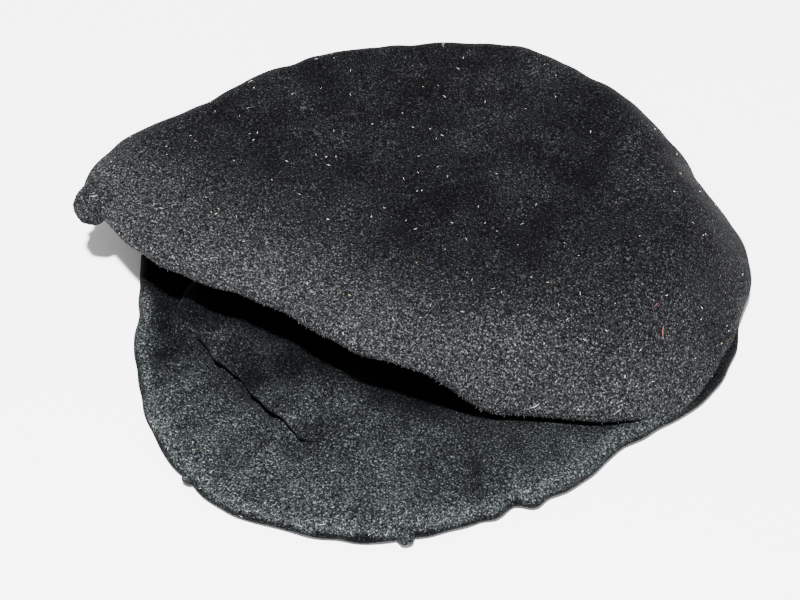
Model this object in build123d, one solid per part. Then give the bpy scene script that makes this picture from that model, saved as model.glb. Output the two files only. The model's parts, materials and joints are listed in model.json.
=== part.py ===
from build123d import *
import math
import os

# A rosin cake in its round velvet pouch. The pouch lies on its back leaf with the flap open.
# Millimetres. X runs along the mouth, -Y points out of the mouth, +Z is up, and the pouch
# rests on Z = 0. The origin is the middle of the round leaf, on the resting plane.

# ---- leaf outline: a circle that hand sewing has pulled out of round ----
LEAF_RADIUS = 43.5
# Each pull is a wave round the rim: its number of lobes, its height and its direction.
LEAF_PULLS = [(1, 0.7, 48), (2, 1.4, 136), (3, 1.5, 91), (4, 1.1, 7), (5, 0.7, 125)]
OUTLINE_POINTS = 18

# ---- layers of a leaf, from the outside in ----
VELVET = 1.1
WADDING = 0.6
LINING = 1.1
SEAM_ALLOWANCE = 4.5
WADDING_GAP = 0.3

# ---- rosin cake on its backing disc ----
CAKE_RADIUS = 20.0
CAKE_THICKNESS = 8.4
CAKE_EDGE = 1.2
BACKING_RADIUS = 19.0
BACKING_THICKNESS = 0.6
CAKE_CENTRE = (-5.0, 7.0)
CAKE_CLEARANCE = 0.2

# ---- top leaf: a flat brim and a skewed dome raised over the cake ----
BRIM_WIDTH = 4.0
BRIM_SKEW = (-1.5, 1.0)
CROWN_RADIUS = 35.0
CROWN_CENTRE = (-5.0, 2.5)
ROOM_OVER_CAKE = 1.0
WALL_LEAN = 0.8

# ---- mouth: a straight edge with a slanting right part ----
MOUTH_Y = -23.0
MOUTH_RIGHT_X = 19.0
MOUTH_RIGHT_TURN = 43
MOUTH_CORNER_RADIUS = 10.0

# ---- flap: the part of the back leaf in front of the mouth ----
FOLD_CLEARANCE = 1.2
LID_CLEARANCE = 0.6

# ---- thread ----
THREAD_RADIUS = 0.3
THREAD_FIT = 0.05
STITCH_SPACING = 6.0
STITCH_INSET = 1.8
HEM_SETBACK = 2.5
THREAD_DEPTH = 0.4

# ---- knots on the flap's edge, and the gathered corner ----
KNOT_OUTSIDE = 0.6
LARGE_KNOT = (-66, 1.4)
SMALL_KNOT = (-103, 0.9)
GATHER_RADIUS = 3.0
GATHER_ROOT = (-35.0, -15.0)
GATHER_TIP_DIRECTION = -158.55
GATHER_OVERHANG = 7.13
NUB_RADIUS = 2.6
NUB_REACH = 4.4

# ---- worked out from the sizes above ----
LEAF = VELVET + WADDING + LINING
CAKE_LOW = LEAF + CAKE_CLEARANCE + BACKING_THICKNESS
CAKE_TOP = CAKE_LOW + CAKE_THICKNESS
CROWN = CAKE_TOP + ROOM_OVER_CAKE + LEAF
SPREAD = 2 * LEAF_RADIUS
FOLD_Y = MOUTH_Y - FOLD_CLEARANCE
RISER = CROWN + LID_CLEARANCE - LEAF
END_FOLD_Y = FOLD_Y - RISER


def leaf_radius(angle):
    """Distance from the origin to the sewn rim in the given direction."""
    pulls = [height * math.cos(math.radians(lobes * angle - direction))
             for lobes, height, direction in LEAF_PULLS]
    return LEAF_RADIUS + sum(pulls)


def rim_point(angle, inset=0.0):
    """X and Y of the point on the rim, or within it, in the given direction."""
    reach = leaf_radius(angle) - inset
    turn = math.radians(angle)
    return reach * math.cos(turn), reach * math.sin(turn)


def slab(low, high, inset=0.0):
    """A flat slab with the leaf's outline, between two heights."""
    points = [rim_point(360 * step / OUTLINE_POINTS, inset) for step in range(OUTLINE_POINTS)]
    outline = make_face(Spline(*points, periodic=True))
    return Pos(0, 0, low) * extrude(outline, high - low, dir=(0, 0, 1))


def band(y_low, y_high):
    """Everything between two Y values."""
    return Pos(0, (y_low + y_high) / 2, 0) * Box(2 * SPREAD, y_high - y_low, SPREAD)


def dome(depth):
    """Solid under the skewed dome surface at the given depth inside the top leaf."""
    foot_radius = LEAF_RADIUS - BRIM_WIDTH - WALL_LEAN * depth
    crown_radius = CROWN_RADIUS - WALL_LEAN * depth
    foot = Pos(*BRIM_SKEW, LEAF) * Circle(foot_radius)
    crown = Pos(*CROWN_CENTRE, CROWN - depth) * Circle(crown_radius)
    return loft([foot, crown], ruled=True)


def under_top_leaf(depth):
    """Solid under the top leaf's surface at the given depth: the brim and the dome."""
    brim = 2 * LEAF - depth
    if brim <= LEAF:
        return dome(depth)
    return slab(LEAF, brim) + dome(depth)


def behind_mouth(setback=0.0):
    """Everything behind the mouth's edge, moved back by the setback."""
    run = SPREAD - MOUTH_RIGHT_X
    right_y = MOUTH_Y + run * math.tan(math.radians(MOUTH_RIGHT_TURN))
    start = (-SPREAD, MOUTH_Y)
    stop = (SPREAD, right_y)
    front = FilletPolyline(start, (MOUTH_RIGHT_X, MOUTH_Y), stop, radius=MOUTH_CORNER_RADIUS)
    back = Polyline(stop, (SPREAD, 2 * SPREAD), (-SPREAD, 2 * SPREAD), start)
    region = make_face(front.edges() + back.edges())
    return Pos(0, setback, 0) * extrude(region, SPREAD, dir=(0, 0, 1))


def fold_angle(y):
    """Direction of the point on the rim's right side at the given Y."""
    angle = math.degrees(math.asin(y / LEAF_RADIUS))
    for _ in range(20):
        angle = math.degrees(math.asin(y / leaf_radius(angle)))
    return angle


def fold_angle_left(y):
    """Direction of the point on the rim's left side at the given Y."""
    angle = -180 - fold_angle(y)
    for _ in range(20):
        angle = -180 - math.degrees(math.asin(y / leaf_radius(angle)))
    return angle


def stitch_angles(start, end):
    """Evenly spaced directions of a row of stitches along the rim."""
    length = math.radians(end - start) * LEAF_RADIUS
    count = max(1, round(length / STITCH_SPACING))
    return [start + (end - start) * (step + 0.5) / count for step in range(count)]


def rim_stitches(angles, top, fit=0.0):
    """Upright threads through the rim, up to the given height."""
    low = THREAD_DEPTH - fit
    high = top - THREAD_DEPTH + fit
    return [Pos(*rim_point(angle, STITCH_INSET), (low + high) / 2)
            * Cylinder(THREAD_RADIUS + fit, high - low) for angle in angles]


def hem_stitches(fit=0.0):
    """Threads through the crown, in a row behind the mouth's straight edge."""
    low = CROWN - LEAF + THREAD_DEPTH - fit
    high = CROWN - THREAD_DEPTH + fit
    width = MOUTH_RIGHT_X - STITCH_SPACING - (CROWN_CENTRE[0] - CAKE_RADIUS)
    count = int(width / STITCH_SPACING) + 1
    first = MOUTH_RIGHT_X - STITCH_SPACING
    return [Pos(first - step * STITCH_SPACING, MOUTH_Y + HEM_SETBACK, (low + high) / 2)
            * Cylinder(THREAD_RADIUS + fit, high - low) for step in range(count)]


def knot(direction, radius):
    """A knot of thread that sits against the leaf's edge."""
    x, y = rim_point(direction, -KNOT_OUTSIDE)
    return Pos(x, y, max(radius, LEAF / 2)) * Sphere(radius) - slab(0, LEAF)


def gathered_corner():
    """The mouth's left corner, gathered into a stub outside the top leaf, and its nub."""
    height = CROWN - GATHER_RADIUS
    root = Vector(*GATHER_ROOT, height)
    tip = Vector(*rim_point(GATHER_TIP_DIRECTION, -GATHER_OVERHANG), height)
    along = tip - root
    stub_line = Plane(origin=root, z_dir=along)
    stub = stub_line * Pos(0, 0, along.length / 2) * Cylinder(GATHER_RADIUS, along.length)
    beyond_stub = stub_line * Pos(0, 0, along.length + NUB_RADIUS) * Box(
        4 * NUB_RADIUS, 4 * NUB_RADIUS, 2 * NUB_RADIUS)
    nub = stub_line * Pos(0, 0, along.length + NUB_REACH - NUB_RADIUS) * Sphere(NUB_RADIUS)
    nub = nub & beyond_stub
    stub = stub - under_top_leaf(0)
    return max(stub.solids(), key=lambda solid: solid.volume), nub


def write(name, shape):
    """Write one node's solids."""
    solids = shape if isinstance(shape, list) else shape.solids()
    part = solids[0] if len(solids) == 1 else Compound(children=list(solids))
    part.label = name
    export_step(part, f"parts/{name}.step")


def write_back_leaf(holes):
    """The flat back leaf's four layers, each parted where the flap folds."""
    wadding_top = VELVET + WADDING
    layers = {
        "velvet": slab(0, VELVET),
        "seam_allowance": (slab(VELVET, wadding_top)
                           - slab(VELVET, wadding_top, SEAM_ALLOWANCE)),
        "wadding": slab(VELVET, wadding_top, SEAM_ALLOWANCE + WADDING_GAP),
        "lining": slab(wadding_top, LEAF),
    }
    regions = {
        "pocket_base": band(FOLD_Y, SPREAD),
        "flap": band(END_FOLD_Y, FOLD_Y),
        "flap_end": band(-SPREAD, END_FOLD_Y),
    }
    for layer, sheet in layers.items():
        for region, box in regions.items():
            piece = sheet & box
            if layer != "wadding":
                piece = piece - holes[region]
            write(f"{region}_{layer}", piece)


def write_top_leaf(holes):
    """The raised top leaf's four layers, open at the mouth."""
    behind = behind_mouth()
    under = [under_top_leaf(depth) & behind for depth in (0, VELVET, VELVET + WADDING, LEAF)]
    middle = under[1] - under[2]
    hem_zone = slab(0, SPREAD, SEAM_ALLOWANCE) & behind_mouth(SEAM_ALLOWANCE)
    inner = SEAM_ALLOWANCE + WADDING_GAP
    padding_zone = slab(0, SPREAD, inner) & behind_mouth(inner)
    write("pocket_top_velvet", under[0] - under[1] - holes)
    write("pocket_top_seam_allowance", middle - hem_zone - holes)
    write("pocket_top_wadding", middle & padding_zone)
    write("pocket_top_lining", under[2] - under[3] - holes)


os.makedirs("parts", exist_ok=True)

# ---- rows of stitches ----
margin = math.degrees(STITCH_SPACING / LEAF_RADIUS / 2)
fold_right = fold_angle(FOLD_Y)
fold_left = fold_angle_left(FOLD_Y)
end_right = fold_angle(END_FOLD_Y)
end_left = fold_angle_left(END_FOLD_Y)
seam_row = stitch_angles(0, 360 + fold_left - margin)
side_row = stitch_angles(fold_right + margin, 0)
flap_row = (stitch_angles(end_right + margin, fold_right - margin)
            + stitch_angles(fold_left + margin, end_left - margin))
end_row = stitch_angles(end_left + margin, end_right - margin)

seam_holes = rim_stitches(seam_row, 2 * LEAF, THREAD_FIT)
side_holes = rim_stitches(side_row, LEAF, THREAD_FIT)
write("rim_seam_stitches", rim_stitches(seam_row, 2 * LEAF))
write("side_edge_stitches", rim_stitches(side_row, LEAF))
write("flap_stitches", rim_stitches(flap_row, LEAF))
write("flap_end_stitches", rim_stitches(end_row, LEAF))
write("mouth_hem_stitches", hem_stitches())

# ---- cloth ----
write_back_leaf({
    "pocket_base": seam_holes + side_holes,
    "flap": rim_stitches(flap_row, LEAF, THREAD_FIT),
    "flap_end": rim_stitches(end_row, LEAF, THREAD_FIT),
})
write_top_leaf(seam_holes + hem_stitches(THREAD_FIT))

# ---- knots and the gathered corner ----
gather, nub = gathered_corner()
write("flap_large_knot", knot(*LARGE_KNOT))
write("flap_small_knot", knot(*SMALL_KNOT))
write("left_corner_gather", gather)
write("left_corner_nub", nub)

# ---- rosin cake on its backing disc ----
cake = Cylinder(CAKE_RADIUS, CAKE_THICKNESS)
cake = fillet(cake.edges().filter_by(GeomType.CIRCLE), CAKE_EDGE)
write("rosin_cake", Pos(*CAKE_CENTRE, CAKE_LOW + CAKE_THICKNESS / 2) * cake)
backing = Cylinder(BACKING_RADIUS, BACKING_THICKNESS)
write("cake_backing", Pos(*CAKE_CENTRE, CAKE_LOW - BACKING_THICKNESS / 2) * backing)

print("fold Y", round(FOLD_Y, 2), "end fold Y", round(END_FOLD_Y, 2), "crown", round(CROWN, 2))
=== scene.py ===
import bpy
import bmesh
import json
import math
import random
import numpy as np
from mathutils import Euler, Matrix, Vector, noise


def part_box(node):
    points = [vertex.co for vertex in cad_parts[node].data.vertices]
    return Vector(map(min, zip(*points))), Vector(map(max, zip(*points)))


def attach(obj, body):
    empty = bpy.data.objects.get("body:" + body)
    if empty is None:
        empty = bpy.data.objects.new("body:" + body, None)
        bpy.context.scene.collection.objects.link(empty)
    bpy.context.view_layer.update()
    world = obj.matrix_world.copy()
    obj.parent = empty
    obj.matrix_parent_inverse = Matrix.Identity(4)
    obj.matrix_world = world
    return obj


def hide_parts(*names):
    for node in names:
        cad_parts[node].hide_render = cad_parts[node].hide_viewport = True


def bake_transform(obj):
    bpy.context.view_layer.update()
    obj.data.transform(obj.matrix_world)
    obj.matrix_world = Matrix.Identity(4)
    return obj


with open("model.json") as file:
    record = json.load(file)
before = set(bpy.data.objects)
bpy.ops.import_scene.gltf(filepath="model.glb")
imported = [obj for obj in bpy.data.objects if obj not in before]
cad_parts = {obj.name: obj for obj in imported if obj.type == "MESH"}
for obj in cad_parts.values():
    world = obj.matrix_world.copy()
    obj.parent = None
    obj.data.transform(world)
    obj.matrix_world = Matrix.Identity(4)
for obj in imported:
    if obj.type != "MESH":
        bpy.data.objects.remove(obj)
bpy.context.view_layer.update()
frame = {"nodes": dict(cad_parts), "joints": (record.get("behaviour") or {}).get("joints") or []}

# Shapes are worked out in millimetres in the part's frame and scaled to metres at the end.
MM = 0.001


def node_box(name):
    """A CAD node's lowest and highest corner in millimetres."""
    low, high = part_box(name)
    return low / MM, high / MM


def joint_y(name):
    """Y of a fold line in millimetres."""
    found = [joint for joint in frame["joints"] if joint["name"] == name]
    return found[0]["pos_m"][1] / MM


# ---- sizes taken from the frame ----
LEAF = node_box("pocket_base_lining")[1].z
CROWN = node_box("pocket_top_velvet")[1].z
MOUTH_Y = node_box("pocket_top_velvet")[0].y
FOLD_Y = joint_y("flap_fold")
END_FOLD_Y = joint_y("flap_end_fold")
NUB_LOW, NUB_HIGH = node_box("left_corner_nub")

# ---- outline of the back leaf: mean radius and waves round the rim ----
LEAF_RADIUS = 43.5
PULLS = [(1, 0.7, 48), (2, 1.4, 136), (3, 1.5, 91), (4, 1.1, 7), (5, 0.7, 125)]
RIPPLES = [(11, 0.16, 20), (17, 0.13, 200), (26, 0.10, 75), (37, 0.07, 310), (53, 0.05, 140)]
# Local fullness of each leaf's edge: direction, width and height.
BACK_BULGES = [(-12, 11, -1.7), (-48, 9, -0.6), (-125, 12, -0.4), (-46, 2.2, 0.8), (-41.8, 1.6, -0.5),
               (-38, 2.0, 0.6)]
TOP_BULGES = [(62, 12, 1.2), (37, 12, 1.5), (10, 13, -1.4), (112, 18, -0.9), (172, 10, -1.2)]

# ---- the lifted left corner of the mouth ----
CORNER_DIRECTION = 199
CORNER_HALF_WIDTH = 40
CORNER_REACH = 8.6
CORNER_LIFT = 8.0
BASE_CURL_START = 176
BASE_CURL_STOP = 196


def leaf_radius(theta):
    """Distance from the origin to the rim, with its fine ripples."""
    radius = np.full_like(theta, LEAF_RADIUS)
    for lobes, height, direction in PULLS + RIPPLES:
        radius = radius + height * np.cos(lobes * theta - math.radians(direction))
    return radius


def bulges(theta, places):
    """Local fullness of an edge, added up."""
    total = np.zeros_like(theta)
    for direction, width, height in places:
        total = total + height * np.exp(-(turn_from(theta, direction) / width) ** 2)
    return total


def back_radius(theta):
    """The back leaf's own edge."""
    return leaf_radius(theta) + bulges(theta, BACK_BULGES)


# How far the lip lies behind the mouth's straight line, and its height where it lies down.
LIP_SET_BACK = 1.3
LYING_LIP = 4.3


def smooth(x):
    """Smooth step from 0 to 1."""
    x = np.clip(x, 0, 1)
    return x * x * (3 - 2 * x)


def softplus(x, width):
    """Zero below zero and x above, with a rounded bend of the given width."""
    return width * np.logaddexp(0, x / width)


def smooth_min(a, b, width):
    """The smaller of two values, rounded where they cross."""
    return -width * np.logaddexp(-a / width, -b / width)


def turn_from(theta, direction):
    """Angle in degrees from the given direction, 0 to 180."""
    return np.abs((np.degrees(theta) - direction + 180) % 360 - 180)


def corner_lean(theta):
    """Share of the corner's lift in each direction."""
    share = np.clip(turn_from(theta, CORNER_DIRECTION) / CORNER_HALF_WIDTH, 0, 1)
    return 0.5 * (1 + np.cos(math.pi * share))


def base_curl(theta):
    """Share of the lift that the back leaf's edge follows, dropping away at the corner."""
    degrees = np.degrees(theta) % 360
    fall = (degrees - BASE_CURL_START) / (BASE_CURL_STOP - BASE_CURL_START)
    return corner_lean(theta) * (1 - smooth(fall))


def fractal(x, y, scale, seed):
    """Smooth noise over the plane, about -1 to 1."""
    flat = np.empty(x.size)
    for index, (px, py) in enumerate(zip(x.ravel(), y.ravel())):
        flat[index] = noise.noise(Vector((px / scale, py / scale, seed)))
    return flat.reshape(x.shape)


def mouth_curve(x):
    """Y of the mouth's lip: a straight edge that slants back at both ends, a little wavy."""
    right = 0.60 * softplus(x - 12.5, 1.2) - 0.22 * softplus(x - 24, 2) + 0.80 * softplus(x - 35.5, 1.5)
    left = 0.45 * softplus(-(x + 33.5), 1.2)
    wave = -0.65 * np.cos(2 * math.pi * (x - 2) / 27) + 0.15 * np.sin(x / 1.3 + 2.0)
    free = smooth((x + 36) / 8) * (1 - smooth((x - 8) / 8))
    return MOUTH_Y + LIP_SET_BACK + right + left + wave * free


def surface_mesh(name, x, y, z, half):
    """A closed form from a mid-surface: rings from the edge to the middle, thickened by half
    its thickness to both sides. Rows are rings, and the last row meets at one point."""
    points = np.stack([x, y, z], axis=-1)
    around = np.roll(points, -1, axis=1) - np.roll(points, 1, axis=1)
    inwards = np.gradient(points, axis=0)
    normal = np.cross(around, inwards)
    length = np.linalg.norm(normal, axis=-1, keepdims=True)
    normal = normal / np.maximum(length, 1e-9)
    if normal[points.shape[0] // 2, :, 2].mean() < 0:
        normal = -normal
    middle = normal[-2].mean(axis=0)
    normal[-1] = middle / np.linalg.norm(middle)
    upper = points + normal * half[..., None]
    lower = points - normal * half[..., None]
    rings, steps = x.shape
    verts = list((upper[:-1].reshape(-1, 3)) * MM)
    top_centre = len(verts)
    verts.append(upper[-1].mean(axis=0) * MM)
    low_start = len(verts)
    verts += list((lower[1:-1].reshape(-1, 3)) * MM)
    low_centre = len(verts)
    verts.append(lower[-1].mean(axis=0) * MM)

    def top(ring, step):
        return top_centre if ring == rings - 1 else ring * steps + step % steps

    def low(ring, step):
        if ring == 0:
            return step % steps
        return low_centre if ring == rings - 1 else low_start + (ring - 1) * steps + step % steps

    faces = []
    for ring in range(rings - 1):
        for step in range(steps):
            quad = [top(ring, step), top(ring, step + 1), top(ring + 1, step + 1), top(ring + 1, step)]
            faces.append(list(dict.fromkeys(quad)))
            quad = [low(ring, step + 1), low(ring, step), low(ring + 1, step), low(ring + 1, step + 1)]
            faces.append(list(dict.fromkeys(quad)))
    mesh = bpy.data.meshes.new(name)
    mesh.from_pydata([tuple(v) for v in verts], [], faces)
    return mesh


def add_object(name, mesh, material, smooth_shading=True):
    """A new object in the scene with one material."""
    piece = bpy.data.objects.new(name, mesh)
    bpy.context.scene.collection.objects.link(piece)
    mesh.materials.append(material)
    if smooth_shading:
        mesh.polygons.foreach_set("use_smooth", [True] * len(mesh.polygons))
    return piece


def fix_normals(mesh):
    """Faces turned outwards."""
    work = bmesh.new()
    work.from_mesh(mesh)
    bmesh.ops.recalc_face_normals(work, faces=work.faces)
    work.to_mesh(mesh)
    work.free()


def keep_side(mesh, y, keep_front):
    """Cuts a closed mesh at a Y value in millimetres, keeps one side and closes it."""
    work = bmesh.new()
    work.from_mesh(mesh)
    result = bmesh.ops.bisect_plane(
        work, geom=work.verts[:] + work.edges[:] + work.faces[:], dist=1e-7,
        plane_co=(0, y * MM, 0), plane_no=(0, 1, 0),
        clear_outer=keep_front, clear_inner=not keep_front)
    rim = [edge for edge in result["geom_cut"] if isinstance(edge, bmesh.types.BMEdge)]
    bmesh.ops.holes_fill(work, edges=rim, sides=0)
    bmesh.ops.recalc_face_normals(work, faces=work.faces)
    work.to_mesh(mesh)
    work.free()


def rest_coordinates(mesh):
    """Stores each point's place at rest, so that a texture stays put when the piece bends."""
    store = mesh.attributes.new("rest", "FLOAT_VECTOR", "POINT")
    places = np.empty(len(mesh.vertices) * 3, np.float32)
    mesh.vertices.foreach_get("co", places)
    store.data.foreach_set("vector", places)
    return places.reshape(-1, 3) / MM


def store_painted_light(mesh, values):
    """Stores the painted light at each point, 0 to 1: painted sheen and highlights raise it, painted
    shade lowers it.
    """
    painted_light = mesh.attributes.new("painted_light", "FLOAT", "POINT")
    painted_light.data.foreach_set("value", np.clip(values, 0, 1).astype(np.float32))


# ---- materials ----
def node_tree(name):
    """A new material with an empty surface, its tree and its shader."""
    material = bpy.data.materials.new(name)
    material.use_nodes = True
    tree = material.node_tree
    tree.nodes.clear()
    output = tree.nodes.new("ShaderNodeOutputMaterial")
    shader = tree.nodes.new("ShaderNodeBsdfPrincipled")
    tree.links.new(shader.outputs[0], output.inputs["Surface"])
    return material, tree, shader


def attribute_node(tree, name):
    """An attribute of the mesh."""
    reader = tree.nodes.new("ShaderNodeAttribute")
    reader.attribute_name = name
    return reader


def noise_node(tree, vector, scale, detail=3.0, roughness=0.6):
    """Noise over a place in metres."""
    texture = tree.nodes.new("ShaderNodeTexNoise")
    texture.inputs["Scale"].default_value = scale
    texture.inputs["Detail"].default_value = detail
    texture.inputs["Roughness"].default_value = roughness
    tree.links.new(vector, texture.inputs["Vector"])
    return texture.outputs["Fac"]


def ramp_node(tree, value, stops):
    """A colour ramp: a list of place and colour or grey."""
    ramp = tree.nodes.new("ShaderNodeValToRGB")
    while len(ramp.color_ramp.elements) < len(stops):
        ramp.color_ramp.elements.new(0.5)
    for element, (place, colour) in zip(ramp.color_ramp.elements, stops):
        element.position = place
        element.color = (*colour, 1) if isinstance(colour, tuple) else (colour, colour, colour, 1)
    tree.links.new(value, ramp.inputs[0])
    return ramp.outputs[0]


def math_node(tree, operation, first, second):
    """A maths node of two values."""
    node = tree.nodes.new("ShaderNodeMath")
    node.operation = operation
    for socket, value in zip(node.inputs, (first, second)):
        if isinstance(value, (int, float)):
            socket.default_value = value
        else:
            tree.links.new(value, socket)
    return node.outputs[0]


def mix_colours(tree, share, first, second):
    """A colour between two."""
    node = tree.nodes.new("ShaderNodeMix")
    node.data_type = "RGBA"
    for socket, value in ((node.inputs[0], share), (node.inputs[6], first), (node.inputs[7], second)):
        if isinstance(value, (int, float)):
            socket.default_value = value
        elif isinstance(value, tuple):
            socket.default_value = (*value, 1)
        else:
            tree.links.new(value, socket)
    return node.outputs[2]


def multiply_colours(tree, first, second):
    """The product of two colours."""
    node = tree.nodes.new("ShaderNodeMix")
    node.data_type = "RGBA"
    node.blend_type = "MULTIPLY"
    node.inputs[0].default_value = 1
    tree.links.new(first, node.inputs[6])
    tree.links.new(second, node.inputs[7])
    return node.outputs[2]


def add_bump(tree, shader, height, strength, distance):
    """Relief finer than the mesh. The distance is in metres."""
    bump = tree.nodes.new("ShaderNodeBump")
    bump.inputs["Strength"].default_value = strength
    bump.inputs["Distance"].default_value = distance
    tree.links.new(height, bump.inputs["Height"])
    tree.links.new(bump.outputs[0], shader.inputs["Normal"])


# ---- grain of the velvet, in repeats a metre, and the tint of the glints painted on its pile ends ----
PILE_SCALE = 3900
TUFT_SCALE = 1700
HUE_SCALE = 1250
PATCH_SCALE = 90
COOL_TINT = (0.84, 1.0, 1.12)
WARM_TINT = (1.10, 1.0, 0.84)


def tinted(colour, tint):
    """A colour times a tint."""
    return tuple(part * share for part, share in zip(colour, tint))


def velvet(name, dark, light, tip):
    """Short dense pile: dark nap, painted paler where the painted light and random patches raise it, with
    bright glints painted on the ends of the pile.
    """
    material, tree, shader = node_tree(name)
    place = attribute_node(tree, "rest").outputs["Vector"]
    painted_light = attribute_node(tree, "painted_light").outputs["Fac"]
    patches = noise_node(tree, place, PATCH_SCALE, 4, 0.6)
    tufts = noise_node(tree, place, TUFT_SCALE, 2, 0.7)
    pile = noise_node(tree, place, PILE_SCALE, 2, 0.8)
    # Painted light from the mesh plus random patches: how far the colour goes from the dark nap to the
    # light colour.
    painted_light_and_patches = math_node(tree, "ADD", painted_light, math_node(
        tree, "MULTIPLY", math_node(tree, "SUBTRACT", patches, 0.5), 0.6))
    base = mix_colours(tree, ramp_node(tree, painted_light_and_patches, [(0.0, 0.0), (1.0, 1.0)]), dark, light)
    grain = ramp_node(tree, pile, [(0.34, 0.05), (0.52, 0.65), (0.66, 3.4)])
    clump = ramp_node(tree, tufts, [(0.32, 0.45), (0.68, 1.8)])
    nap = multiply_colours(tree, multiply_colours(tree, base, grain), clump)
    # Bright glints painted on the pile ends, stronger where the painted light is higher.
    glint_tips = ramp_node(tree, pile, [(0.63, 0.0), (0.72, 1.0)])
    hues = noise_node(tree, place, HUE_SCALE, 1, 0.5)
    glint_hues = [(0.36, tinted(tip, COOL_TINT)), (0.5, tip), (0.64, tinted(tip, WARM_TINT))]
    glint_colour = ramp_node(tree, hues, glint_hues)
    glint_strength = math_node(tree, "MULTIPLY", glint_tips, ramp_node(tree, painted_light_and_patches, [(0.0, 0.10), (0.9, 0.85)]))
    colour = mix_colours(tree, glint_strength, nap, glint_colour)
    tree.links.new(colour, shader.inputs["Base Color"])
    shader.inputs["Roughness"].default_value = 0.95
    shader.inputs["Specular IOR Level"].default_value = 0.03
    shader.inputs["Sheen Weight"].default_value = 0.008
    shader.inputs["Sheen Roughness"].default_value = 0.45
    shader.inputs["Sheen Tint"].default_value = (0.9, 0.95, 1.0, 1)
    height = math_node(tree, "ADD", math_node(tree, "MULTIPLY", tufts, 0.6), pile)
    add_bump(tree, shader, height, strength=0.75, distance=0.00022)
    return material


def fibre(name, colour, second):
    """Lint and thread: a pale fibre with a little change of colour."""
    material, tree, shader = node_tree(name)
    place = attribute_node(tree, "rest").outputs["Vector"]
    tone = noise_node(tree, place, 260, 2, 0.6)
    blend = ramp_node(tree, tone, [(0.35, colour), (0.65, second)])
    tree.links.new(blend, shader.inputs["Base Color"])
    shader.inputs["Roughness"].default_value = 0.8
    shader.inputs["Sheen Weight"].default_value = 0.2
    return material


def rosin():
    """Glassy amber resin with a dusty bloom."""
    material, tree, shader = node_tree("rosin_amber")
    place = tree.nodes.new("ShaderNodeTexCoord").outputs["Object"]
    cloud = noise_node(tree, place, 120, 4, 0.6)
    dust = noise_node(tree, place, 900, 5, 0.7)
    amber = ramp_node(tree, cloud, [(0.3, (0.085, 0.016, 0.002)), (0.7, (0.20, 0.048, 0.006))])
    cover = ramp_node(tree, dust, [(0.52, 0.0), (0.8, 0.22)])
    colour = mix_colours(tree, cover, amber, (0.42, 0.26, 0.11))
    tree.links.new(colour, shader.inputs["Base Color"])
    rough = ramp_node(tree, dust, [(0.4, 0.12), (0.75, 0.6)])
    tree.links.new(rough, shader.inputs["Roughness"])
    shader.inputs["Transmission Weight"].default_value = 0.35
    shader.inputs["IOR"].default_value = 1.52
    shader.inputs["Coat Weight"].default_value = 0.1
    add_bump(tree, shader, dust, strength=0.25, distance=0.0002)
    return material


def felt():
    """Dark red felt under the cake."""
    material, tree, shader = node_tree("backing_felt")
    place = tree.nodes.new("ShaderNodeTexCoord").outputs["Object"]
    fuzz = noise_node(tree, place, 1800, 4, 0.7)
    colour = ramp_node(tree, fuzz, [(0.3, (0.05, 0.012, 0.014)), (0.7, (0.14, 0.035, 0.04))])
    tree.links.new(colour, shader.inputs["Base Color"])
    shader.inputs["Roughness"].default_value = 0.95
    shader.inputs["Sheen Weight"].default_value = 0.3
    add_bump(tree, shader, fuzz, strength=0.6, distance=0.0003)
    return material


def paper_floor():
    """A plain pale floor."""
    material, tree, shader = node_tree("pale_floor")
    place = tree.nodes.new("ShaderNodeTexCoord").outputs["Object"]
    tone = noise_node(tree, place, 6, 2, 0.5)
    colour = ramp_node(tree, tone, [(0.3, 0.93), (0.7, 0.96)])
    tree.links.new(colour, shader.inputs["Base Color"])
    shader.inputs["Roughness"].default_value = 0.9
    return material


# tip is the colour of the glints painted on the pile ends.
OUTER_VELVET = velvet("outer_velvet", dark=(0.0013, 0.0013, 0.0017), light=(0.0160, 0.0168, 0.0176),
                      tip=(0.190, 0.198, 0.200))
INNER_VELVET = velvet("inner_velvet", dark=(0.0011, 0.0012, 0.0015), light=(0.0160, 0.0182, 0.0188),
                      tip=(0.180, 0.205, 0.205))
WHITE_LINT = fibre("white_lint", (0.30, 0.31, 0.30), (0.72, 0.72, 0.68))
GOLD_LINT = fibre("gold_lint", (0.34, 0.27, 0.13), (0.6, 0.5, 0.28))
FRINGE = fibre("pile_fringe", (0.02, 0.022, 0.022), (0.09, 0.095, 0.093))
RED_LINT = fibre("red_lint", (0.16, 0.02, 0.015), (0.26, 0.05, 0.03))

# ---- resolution of the leaves ----
STEPS_AROUND = 620
RINGS = 110
BACK_RINGS = 170
# Width of the rounded edge, and the gap between the back leaf and the floor.
EDGE_ROUND = 1.35
SOLE_GAP = 0.02
# Where the rings are closest together round the flap's crease, as a share of the way inwards.
FOLD_SHARE = 0.325
FOLD_SPREAD = 0.085


def ring_shares(rings, fold):
    """Distance from the edge as a share of the way to the middle: close together at the edge
    and, where the leaf has a fold, round the fold."""
    share = np.linspace(0, 1, 4001)
    density = 1 / (0.02 + 0.35 * share) + fold * np.exp(-((share - FOLD_SHARE) / FOLD_SPREAD) ** 2)
    total = np.concatenate([[0], np.cumsum(0.5 * (density[1:] + density[:-1]))])
    return np.interp(np.linspace(0, 1, rings), total / total[-1], share)


def polar_grid(edge_radius, theta, rings, fold=0.0):
    """Rings of points from the edge to the origin."""
    shares = ring_shares(rings, fold)[:, None]
    radius = edge_radius[None, :] * (1 - shares)
    directions = np.broadcast_to(theta, radius.shape)
    return radius, directions


def rounded_half(edge_distance, thickness, squeeze):
    """Half the thickness at each distance from the edge, round at the edge itself and
    squeezed by the seam beside it."""
    near = np.clip(edge_distance / EDGE_ROUND, 0, 1)
    roundness = np.sqrt(np.clip(1 - (1 - near) ** 2, 0, 1))
    plump = 1 - squeeze * np.exp(-np.clip(edge_distance, 0, None) / 3.0)
    return 0.5 * thickness * roundness * plump


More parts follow.
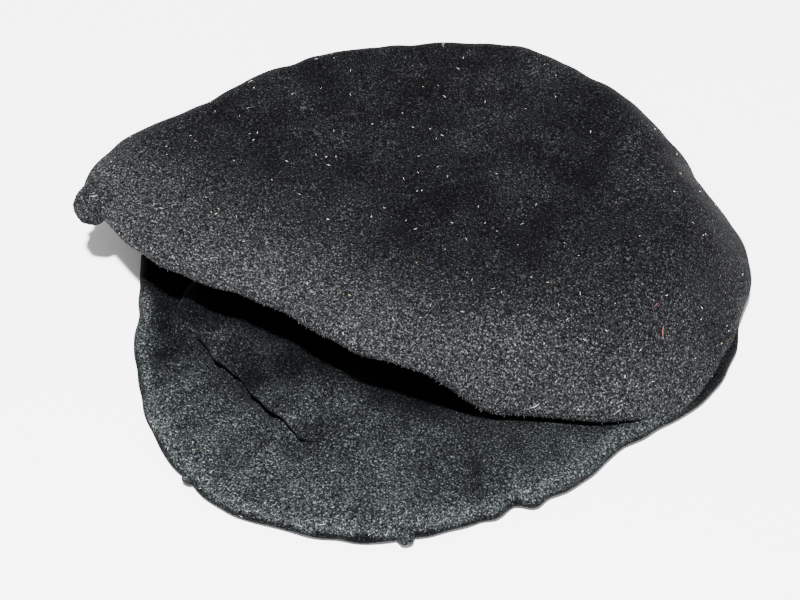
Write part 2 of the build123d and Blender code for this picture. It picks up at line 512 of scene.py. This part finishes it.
# ---- top leaf ----
# It is steepest in this direction, and its seam hangs lowest in the other.
STEEP_DIRECTION = 125
LOW_DIRECTION = 12
SEAM_HEIGHT = 3.65
def top_leaf_rim(theta):
    """Radius and height of the top leaf's seam in each direction."""
    lean = corner_lean(theta)
    steep = 0.5 * (1 + np.cos(theta - math.radians(STEEP_DIRECTION)))
    low_side = np.exp(-(turn_from(theta, LOW_DIRECTION) / 42) ** 4)
    height = SEAM_HEIGHT - 0.6 * steep + CORNER_LIFT * lean - 1.25 * low_side
    radius = leaf_radius(theta) + bulges(theta, TOP_BULGES) + CORNER_REACH * lean
    return radius - 0.5 + 0.5 * low_side, height


# Stands for a lip that is never met, well past the rim.
NO_LIP = 200.0


def mouth_radius(theta):
    """Distance from the origin to the lip along each direction, or far where there is none."""
    reach = np.linspace(8, 90, 2400)
    found = np.full(theta.shape, NO_LIP)
    for index, angle in enumerate(theta):
        if math.sin(angle) > 0.6:
            continue
        x, y = reach * math.cos(angle), reach * math.sin(angle)
        crossed = np.nonzero(y < mouth_curve(x))[0]
        if len(crossed):
            found[index] = reach[crossed[0]]
    return found


def top_leaf_height(x, y):
    """Height of the top leaf's mid-surface over the cake, its wall and its sloping lip."""
    theta = np.arctan2(y, x)
    radius = np.hypot(x, y)
    rim, low = top_leaf_rim(theta)
    wall = 10.2 - 5.5 * np.cos(theta - math.radians(132))
    inwards = np.clip((rim - radius) / wall, 0, 1)
    steep = 0.5 * (1 + np.cos(theta - math.radians(STEEP_DIRECTION)))
    round_side = np.sqrt(np.clip(1 - (1 - inwards) ** 2, 0, 1))
    soft_side = smooth(inwards)
    rise = steep * round_side + (1 - steep) * soft_side
    crown = CROWN - LEAF / 2 + 0.15
    height = low + (crown - low) * rise
    front = smooth((-6.0 - y) / 18.0)
    height = height - 1.5 * front
    lip = np.clip(y - mouth_curve(x), 0, None)
    height = height - 0.9 * np.exp(-lip / 2.2)
    lying = smooth((x - 11.8) / 10.2) * np.exp(-lip / (5.0 + 4.0 * smooth((x - 20.0) / 15.0)))
    lying_height = LYING_LIP - 1.7 * smooth((x - 35.0) / 8.0)
    return height - (height - lying_height) * lying


# Unevenness of the top leaf: height, scale and seed.
TOP_UNEVENNESS = [(0.55, 17, 3.1), (0.22, 6.5, 8.2), (0.07, 2.4, 1.7)]


def make_top_leaf():
    """The top leaf, from its seam and its lip to the crown."""
    theta = np.linspace(0, 2 * math.pi, STEPS_AROUND, endpoint=False)
    rim, _ = top_leaf_rim(theta)
    edge = smooth_min(rim, mouth_radius(theta), 0.5)
    radius, directions = polar_grid(edge, theta, RINGS)
    x, y = radius * np.cos(directions), radius * np.sin(directions)
    z = top_leaf_height(x, y)
    for height, scale, seed in TOP_UNEVENNESS:
        z = z + height * fractal(x, y, scale, seed)
    to_rim = np.broadcast_to(rim, radius.shape) - radius
    to_lip = (y - mouth_curve(x)) * 0.85
    edge_distance = np.minimum(np.maximum(edge[None, :] - radius, 0), np.maximum(to_rim, 0))
    edge_distance = np.minimum(edge_distance, np.maximum(to_lip, edge_distance * 0.5))
    seam_side = np.exp(-np.clip(to_lip, 0, None) / 6)
    half = rounded_half(edge_distance, LEAF, 0.32 * (1 - seam_side))
    mesh = surface_mesh("top_leaf", x, y, z, half)
    fix_normals(mesh)
    piece = add_object("top_leaf", mesh, OUTER_VELVET)
    px, py, _ = rest_coordinates(mesh).T
    angle = np.arctan2(py, px)
    lip = np.clip(py - mouth_curve(px), 0, None)
    edge_now = top_leaf_rim(angle)[0] - np.hypot(px, py)
    # Painted sheen along the lip: a lighter band that fades away from the mouth and towards the right.
    painted_lip_sheen = 0.62 * np.exp(-(lip / 12.0) ** 2) * (1 - 0.25 * smooth((px - 18) / 15))
    # Painted sheen along the seam.
    painted_rim_sheen = 0.26 * np.exp(-np.clip(edge_now, 0, None) / 2.0)
    # Lighter towards the right and round the lifted corner.
    right = 0.10 * smooth((px - 10) / 25)
    tip = 0.30 * np.exp(-np.hypot(px + 45, py + 16) / 5)
    store_painted_light(mesh, 0.08 + np.maximum(painted_lip_sheen, painted_rim_sheen) + right + tip)
    return piece


# ---- back leaf with the flap ----
# The crease: how much higher one side stands, how far it laps over, how deep the low side
# is pressed and how sharp the step is. Its lines are points in X and Y.
CREASE_STEP = 1.5
CREASE_LAP = 1.7
CREASE_TROUGH = 0.9
CREASE_BEND = 0.17
CREASE = [(-21.5, -23.6), (-17.5, -25.4), (-13.1, -26.4), (-8.4, -28.3), (-3.6, -29.8), (-0.8, -31.2)]
SMALL_CREASE = [(3.5, -27.2), (7.5, -27.3), (11.0, -27.7)]


def crease_offsets(x, y, points):
    """Signed distance to a crease, positive towards the mouth, and how far past its ends."""
    xs, ys = zip(*points)
    line = np.interp(x, xs, ys)
    slope = np.interp(x, xs[1:], np.diff(ys) / np.diff(xs))
    across = (y - line) / np.sqrt(1 + slope ** 2)
    beyond = np.maximum(xs[0] - x, x - xs[-1])
    return across, beyond


PUCKERS = 44


def pucker_waves(theta):
    """Uneven waves round the rim where the seam gathers the cloth, from -1 to 1."""
    return np.sin(theta * PUCKERS + 2 * np.sin(theta * 9))


def flap_dents(x, y, theta, inwards):
    """How deep the flap's upper side is pressed in: a plump roll along the rim, soft hollows
    and puckers that run in from the rim."""
    roll = np.exp(-((inwards - 4.5) / 4.2) ** 2)
    hollows = 0.50 * fractal(x, y, 9, 4.4) + 0.28 * fractal(x, y, 3.6, 6.1)
    pucker = np.exp(-((inwards - 2.5) / 5.0) ** 2)
    front_right = np.exp(-(turn_from(theta, -58) / 26) ** 2)
    dent = 0.40 + 0.60 * (1 - roll) - hollows - pucker * (0.14 + 0.30 * front_right) * pucker_waves(theta)
    return softplus(dent, 0.10)


def back_leaf_shape(x, y):
    """Height of the back leaf's mid-surface and its thickness. It lies flat underneath, but
    for the corner that curls up."""
    theta = np.arctan2(y, x)
    radius = np.hypot(x, y)
    rim = back_radius(theta) + CORNER_REACH * base_curl(theta)
    inwards = np.clip(rim - radius, 0, None)
    lift = CORNER_LIFT * base_curl(theta) * np.exp(-(inwards / 9.0) ** 2)
    on_flap = smooth((FOLD_Y + 3 - y) / 6)
    thickness = LEAF + on_flap * (0.2 - flap_dents(x, y, theta, inwards))
    ridge = smooth((x + 27.2) / 1.2) * np.exp(-(np.clip(x + 26.0, 0, None) / 2.6) ** 2)
    thickness = thickness + 2.4 * ridge * np.exp(-((y + 17.5) / 4.2) ** 2)
    return lift + thickness / 2, thickness


def fold_upper_side(mesh):
    """Presses the crease into the upper side: the cloth on the mouth side stands higher and
    laps over the low side."""
    upper = (BACK_RINGS - 1) * STEPS_AROUND + 1
    points = np.array([vertex.co for vertex in mesh.vertices[:upper]]) / MM
    x, y = points[:, 0], points[:, 1]
    across, beyond = crease_offsets(x, y, CREASE)
    ends = np.exp(-(np.clip(beyond, 0, None) / 1.6) ** 2)
    step = 1 / (1 + np.exp(-across / CREASE_BEND))
    bank = np.where(across > 0, np.exp(-(across / 6.0) ** 2), 1)
    trough = np.exp(-((across + 0.6) / 1.3) ** 2)
    unevenness = 1 + 0.22 * np.sin(x / 1.7) + 0.12 * np.sin(x / 0.6)
    depth = ends * (0.80 + 0.20 * smooth((x + 21) / 7)) * unevenness
    rise = depth * (CREASE_STEP * step * bank - CREASE_TROUGH * trough)
    lap = -CREASE_LAP * depth * step * np.exp(-(across / 2.6) ** 2)
    across, beyond = crease_offsets(x, y, SMALL_CREASE)
    ends = np.exp(-(np.clip(beyond, 0, None) / 2.0) ** 2)
    rise = rise - ends * 0.55 * np.exp(-(across / 0.5) ** 2)
    for vertex, up, forward in zip(mesh.vertices[:upper], rise, lap):
        vertex.co.z += float(up) * MM
        vertex.co.y += float(forward) * MM


def back_leaf_mesh(name):
    """The whole back leaf as one closed mesh."""
    theta = np.linspace(0, 2 * math.pi, STEPS_AROUND, endpoint=False)
    edge = back_radius(theta) + CORNER_REACH * base_curl(theta)
    radius, directions = polar_grid(edge, theta, BACK_RINGS, fold=22.0)
    x, y = radius * np.cos(directions), radius * np.sin(directions)
    z, thickness = back_leaf_shape(x, y)
    edge_distance = edge[None, :] - radius
    half = rounded_half(edge_distance, thickness, 0.0)
    z = np.maximum(z, half + SOLE_GAP)
    mesh = surface_mesh(name, x, y, z, half)
    fold_upper_side(mesh)
    fix_normals(mesh)
    return mesh


def finish_back_leaf(mesh):
    """Stores the back leaf's painted light: painted sheen on the rim, painted highlights on the plump
    roll, its puckers and humps, and painted shade inside the mouth and on the rim's lower side.
    """
    px, py, pz = rest_coordinates(mesh).T
    angle = np.arctan2(py, px)
    inwards = back_radius(angle) - np.hypot(px, py)
    # Painted sheen on the rim: a light line just inside the edge.
    painted_rim_sheen = 0.30 * np.exp(-np.clip(inwards, 0, None) / 3.0)
    painted_rim_sheen = painted_rim_sheen + 0.6 * np.exp(-((inwards - 1.2) / 0.8) ** 2)
    # Painted shade inside the mouth, under the top leaf's lip.
    painted_mouth_shade = smooth((py - mouth_curve(px) + 2.0) / 5.0)
    # Painted shade on the lower side of the rounded rim.
    painted_rim_underside_shade = 0.85 * (1 - smooth((pz - 1.4) / 0.7)) * np.exp(-(inwards / 2.4) ** 2)
    # Painted highlights on the plump roll along the front, on one spot, on the puckers and on the humps
    # that follow the flap's own shape; lighter towards the right and darker at the left.
    plump = 0.27 * smooth((-26.0 - py) / 12.0) + 0.08 * smooth((px - 5) / 20)
    plump = plump + 0.16 * np.exp(-(np.hypot(px + 10, py + 33) / 6.0) ** 2)
    plump = plump + 0.10 * np.exp(-((inwards - 5) / 4) ** 2) * pucker_waves(angle)
    plump = plump + 0.30 * fractal(px, py, 9, 4.4) + 0.18 * fractal(px, py, 3.6, 6.1)
    plump = plump - 0.14 * smooth((-17 - px) / 8) + 0.08 * smooth((px - 5) / 12)
    store_painted_light(mesh, (0.22 + plump + painted_rim_sheen) * (1 - painted_mouth_shade) * (1 - painted_rim_underside_shade))


def make_back_leaf():
    """The back leaf in two pieces, parted half way up the part of the flap that stands up."""
    split = (FOLD_Y + END_FOLD_Y) / 2
    pieces = []
    for name, front in (("back_leaf", False), ("flap_end_leaf", True)):
        mesh = back_leaf_mesh(name)
        keep_side(mesh, split, front)
        finish_back_leaf(mesh)
        pieces.append(add_object(name, mesh, INNER_VELVET))
    return pieces


# ---- gathered corner, nub and knots ----
GATHER_CENTRE = (-42.3, -14.8, 12.0)
NUB_SHIFT = Vector((2.6, 0.7, -0.9))
LARGE_KNOT_DIRECTION = -62.8
SMALL_KNOT_DIRECTION = -103
# The painted light on the lumps, the same all over.
LUMP_PAINTED_LIGHT = 0.62


def lump(name, centre, radii, turn, seed, rough, material):
    """A soft lump: a sphere made uneven, stretched and turned."""
    work = bmesh.new()
    bmesh.ops.create_icosphere(work, subdivisions=5, radius=1)
    for vertex in work.verts:
        uneven = 1 + rough * noise.noise(vertex.co * 1.6 + Vector((seed, 0, 0)))
        uneven += 0.35 * rough * noise.noise(vertex.co * 5 + Vector((0, seed, 0)))
        spot = Vector(a * b * uneven for a, b in zip(vertex.co, radii))
        spot.rotate(turn)
        vertex.co = (spot + Vector(centre)) * MM
    mesh = bpy.data.meshes.new(name)
    work.to_mesh(mesh)
    work.free()
    piece = add_object(name, mesh, material)
    rest_coordinates(mesh)
    store_painted_light(mesh, np.full(len(mesh.vertices), LUMP_PAINTED_LIGHT))
    return piece


def rim_place(direction, outside, z):
    """A place on the back leaf's rim."""
    turn = math.radians(direction)
    reach = float(back_radius(np.array([turn]))[0]) + outside
    return (reach * math.cos(turn), reach * math.sin(turn), z)


def make_small_lumps():
    """The gathered corner, its nub and the two knots on the flap."""
    nub_centre = (NUB_LOW + NUB_HIGH) / 2 + NUB_SHIFT
    gather = lump("corner_gather", GATHER_CENTRE, (5.2, 3.3, 2.8), Euler((0.1, 0.05, 0.35)),
                  seed=2.5, rough=0.16, material=OUTER_VELVET)
    nub = lump("corner_nub", nub_centre, (2.5, 2.7, 2.4), Euler((0.3, 0.1, 0.9)),
               seed=7.7, rough=0.10, material=OUTER_VELVET)
    large = lump("large_knot", rim_place(LARGE_KNOT_DIRECTION, -0.2, 1.5), (1.2, 1.4, 1.2),
                 Euler((0, 0, 0.5)), seed=4.2, rough=0.12, material=INNER_VELVET)
    small = lump("small_knot", rim_place(SMALL_KNOT_DIRECTION, -0.3, 1.3), (1.0, 1.0, 0.95),
                 Euler((0, 0, 0)), seed=9.1, rough=0.12, material=INNER_VELVET)
    return gather, nub, large, small


# ---- lint and loose pile: lengths and radii in millimetres ----
FRINGE_LENGTH = 0.30
FRINGE_RADIUS = 0.012
HAIR_RADIUS = 0.03
# Points along a fibre, as shares of its length.
LINT_SHARES = (-0.5, -0.25, 0.0, 0.25, 0.5)
FRINGE_SHARES = (-0.3, 0.1, 0.5, 0.8, 1.0)


def fibre_mesh(name, paths):
    """Closed four-sided fibres along paths of points in millimetres, thinner at both ends."""
    verts, faces = [], []
    for path, thickness in paths:
        start = len(verts)
        last = len(path) - 1
        for ring, middle in enumerate(path):
            along = path[min(ring + 1, last)] - path[max(ring - 1, 0)]
            side = along.cross(Vector((0.3, 0.2, 1.0))).normalized()
            rise = side.cross(along).normalized()
            radius = thickness * (1 - 1.3 * abs(ring / last - 0.5))
            for corner in range(4):
                angle = math.pi * corner / 2
                spot = middle + side * radius * math.cos(angle) + rise * radius * math.sin(angle)
                verts.append(spot * MM)
        for ring in range(last):
            for corner in range(4):
                a = start + ring * 4 + corner
                b = start + ring * 4 + (corner + 1) % 4
                faces.append((a, b, b + 4, a + 4))
        faces.append(tuple(start + corner for corner in (3, 2, 1, 0)))
        faces.append(tuple(start + last * 4 + corner for corner in range(4)))
    mesh = bpy.data.meshes.new(name)
    mesh.from_pydata([tuple(v) for v in verts], [], faces)
    fix_normals(mesh)
    return mesh


def make_lint(name, piece, count, seed, material, length, thickness, accept):
    """Short fibres lying on a piece's upper side."""
    chance = random.Random(seed)
    mesh = piece.data
    paths = []
    allowed = [face for face in mesh.polygons if face.normal.z > 0.15 and accept(face.center / MM)]
    for face in chance.choices(allowed, weights=[face.area for face in allowed], k=count):
        spot, normal = face.center / MM, face.normal
        heading = chance.uniform(0, 2 * math.pi)
        side = normal.cross(Vector((math.cos(heading), math.sin(heading), 0))).normalized()
        along = side.cross(normal).normalized()
        reach = length * chance.uniform(0.3, 1.0)
        bend = chance.uniform(-0.5, 0.5) * reach
        radius = thickness * chance.uniform(0.7, 1.2)
        lie = radius * 0.8 + 0.03
        paths.append(([spot + along * reach * share + side * bend * share * share + normal * lie
                       for share in LINT_SHARES], radius))
    lint_mesh = fibre_mesh(name, paths)
    lint = add_object(name, lint_mesh, material, smooth_shading=False)
    rest_coordinates(lint_mesh)
    return lint


def make_fringe(name, piece, count, seed, accept):
    """Pile standing out from a leaf's edge and drooping a little."""
    chance = random.Random(seed)
    allowed = [vertex for vertex in piece.data.vertices if accept(vertex.co / MM, vertex.normal)]
    paths = []
    for vertex in chance.choices(allowed, k=count):
        spot, normal = vertex.co / MM, vertex.normal
        out = normal + Vector((chance.gauss(0, 0.35), chance.gauss(0, 0.35), chance.gauss(0, 0.3)))
        out.normalize()
        reach = FRINGE_LENGTH * chance.uniform(0.5, 1.2)
        droop = Vector((0, 0, -0.25 * reach))
        paths.append(([spot + out * reach * share + droop * share * share
                       for share in FRINGE_SHARES], FRINGE_RADIUS))
    fringe_mesh = fibre_mesh(name, paths)
    fringe = add_object(name, fringe_mesh, FRINGE, smooth_shading=False)
    rest_coordinates(fringe_mesh)
    return fringe


# ---- build the pieces ----
top_leaf = make_top_leaf()
back_leaf, flap_end_leaf = make_back_leaf()
corner_gather, corner_nub, large_knot, small_knot = make_small_lumps()

LAYERS = ("velvet", "seam_allowance", "wadding", "lining")
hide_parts(*[f"pocket_top_{layer}" for layer in LAYERS],
            "rim_seam_stitches", "mouth_hem_stitches")
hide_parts(*[f"pocket_base_{layer}" for layer in LAYERS], "side_edge_stitches",
            *[f"flap_{layer}" for layer in LAYERS], "flap_stitches")
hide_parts(*[f"flap_end_{layer}" for layer in LAYERS], "flap_end_stitches")
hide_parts("left_corner_gather")
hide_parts("left_corner_nub")
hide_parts("flap_large_knot")
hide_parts("flap_small_knot")

lint_pieces = [
    ("lint_top", top_leaf, "pocket", 150, 11, WHITE_LINT, 0.55, 0.026, lambda p: True),
    ("lint_top_gold", top_leaf, "pocket", 40, 12, GOLD_LINT, 0.4, 0.035, lambda p: True),
    ("lint_flap", flap_end_leaf, "flap_end", 22, 13, WHITE_LINT, 0.5, 0.028,
     lambda p: p.y < END_FOLD_Y - 1.5 and p.z < 2.7),
    ("lint_edge", flap_end_leaf, "flap_end", 10, 14, GOLD_LINT, 0.45, 0.035,
     lambda p: p.y < END_FOLD_Y - 1.5 and math.hypot(p.x, p.y) > 42.5 and 1.9 < p.z < 2.7),
]
for name, host, body, count, seed, material, length, thickness, accept in lint_pieces:
    lint = make_lint(name, host, count, seed, material, length, thickness, accept)
    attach(lint, body)

red_lint = make_lint("red_lint", top_leaf, 2, 15, RED_LINT, 2.4, 0.04,
                     lambda p: 34 < p.x < 36.5 and 2.5 < p.y < 6)
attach(red_lint, "pocket")

FIRST_HAIR_SEED = 31
hair_places = [
    ("hair_nub", corner_nub, "pocket", 2.2, lambda p: p.z > 13.0),
    ("hair_lip", top_leaf, "pocket", 2.6, lambda p: 24 < p.x < 26 and -14.5 < p.y < -13),
    ("hair_flap", flap_end_leaf, "flap_end", 1.8, lambda p: 8 < p.x < 12 and p.y < -40 and p.z < 2.6),
]
for index, (name, host, body, length, accept) in enumerate(hair_places):
    hair = make_lint(name, host, 1, FIRST_HAIR_SEED + index, WHITE_LINT, length, HAIR_RADIUS, accept)
    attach(hair, body)

fringe_places = [
    ("fringe_top", top_leaf, "pocket", 2200, 21, "black_velvet",
     lambda p, n: abs(n.z) < 0.55 and p.z > 3.2),
    ("fringe_flap", flap_end_leaf, "flap_end", 900, 22, "lining_velvet",
     lambda p, n: 0.45 < n.z < 0.9 and p.y < END_FOLD_Y - 1.0 and 1.9 < p.z < 2.7),
]
for name, host, body, count, seed, slot_name, accept in fringe_places:
    fringe = make_fringe(name, host, count, seed, accept)
    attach(fringe, body)

for piece in (top_leaf, corner_gather, corner_nub):
    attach(piece, "pocket")
for piece in (large_knot, small_knot):
    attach(piece, "flap_end")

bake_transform(back_leaf)
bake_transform(flap_end_leaf)

# ---- the rosin cake keeps its CAD shape ----
for node, material in (("rosin_cake", rosin()), ("cake_backing", felt())):
    part = frame["nodes"][node]
    for slot in part.material_slots:
        slot.material = material

# ---- floor, light and camera ----
# Metres from here on.
FLOOR_HALF = 3.0
FLOOR_Z = -0.0001
floor_mesh = bpy.data.meshes.new("floor")
floor_mesh.from_pydata([(-FLOOR_HALF, -FLOOR_HALF, FLOOR_Z), (FLOOR_HALF, -FLOOR_HALF, FLOOR_Z),
                        (FLOOR_HALF, FLOOR_HALF, FLOOR_Z), (-FLOOR_HALF, FLOOR_HALF, FLOOR_Z)],
                       [], [(0, 1, 2, 3)])
floor = add_object("floor", floor_mesh, paper_floor(), smooth_shading=False)


def direction(azimuth, elevation):
    """Unit vector from the object towards a viewer at that azimuth and elevation."""
    turn, rise = math.radians(azimuth), math.radians(elevation)
    level = math.cos(rise)
    return Vector((math.sin(turn) * level, -math.cos(turn) * level, math.sin(rise)))


def area_light(name, azimuth, elevation, distance, size, power):
    """A square soft light aimed at the object."""
    data = bpy.data.lights.new(name, "AREA")
    data.size = size
    data.energy = power
    lamp = bpy.data.objects.new(name, data)
    bpy.context.scene.collection.objects.link(lamp)
    towards = direction(azimuth, elevation)
    lamp.location = towards * distance
    lamp.rotation_mode = "QUATERNION"
    lamp.rotation_quaternion = towards.to_track_quat("Z", "Y")


VIEW_AZIMUTH = 30
VIEW_ELEVATION = 48
VIEW_DISTANCE = 0.30
LENS = 93.15
SENSOR_WIDTH = 36
WORLD_STRENGTH = 0.62
AIM = Vector((-0.0023, -0.0016, 0.0))

area_light("key", azimuth=20, elevation=72, distance=0.9, size=0.05, power=54)
area_light("fill", azimuth=60, elevation=40, distance=1.2, size=0.9, power=3)

world = bpy.data.worlds.new("studio")
world.use_nodes = True
world.node_tree.nodes["Background"].inputs[0].default_value = (1, 1, 1, 1)
world.node_tree.nodes["Background"].inputs[1].default_value = WORLD_STRENGTH
bpy.context.scene.world = world

camera_data = bpy.data.cameras.new("camera")
camera_data.lens = LENS
camera_data.sensor_width = SENSOR_WIDTH
camera_data.clip_start = 0.01
camera = bpy.data.objects.new("camera", camera_data)
bpy.context.scene.collection.objects.link(camera)
towards = direction(VIEW_AZIMUTH, VIEW_ELEVATION)
camera.location = AIM + towards * VIEW_DISTANCE
camera.rotation_mode = "QUATERNION"
camera.rotation_quaternion = towards.to_track_quat("Z", "Y")
bpy.context.scene.camera = camera
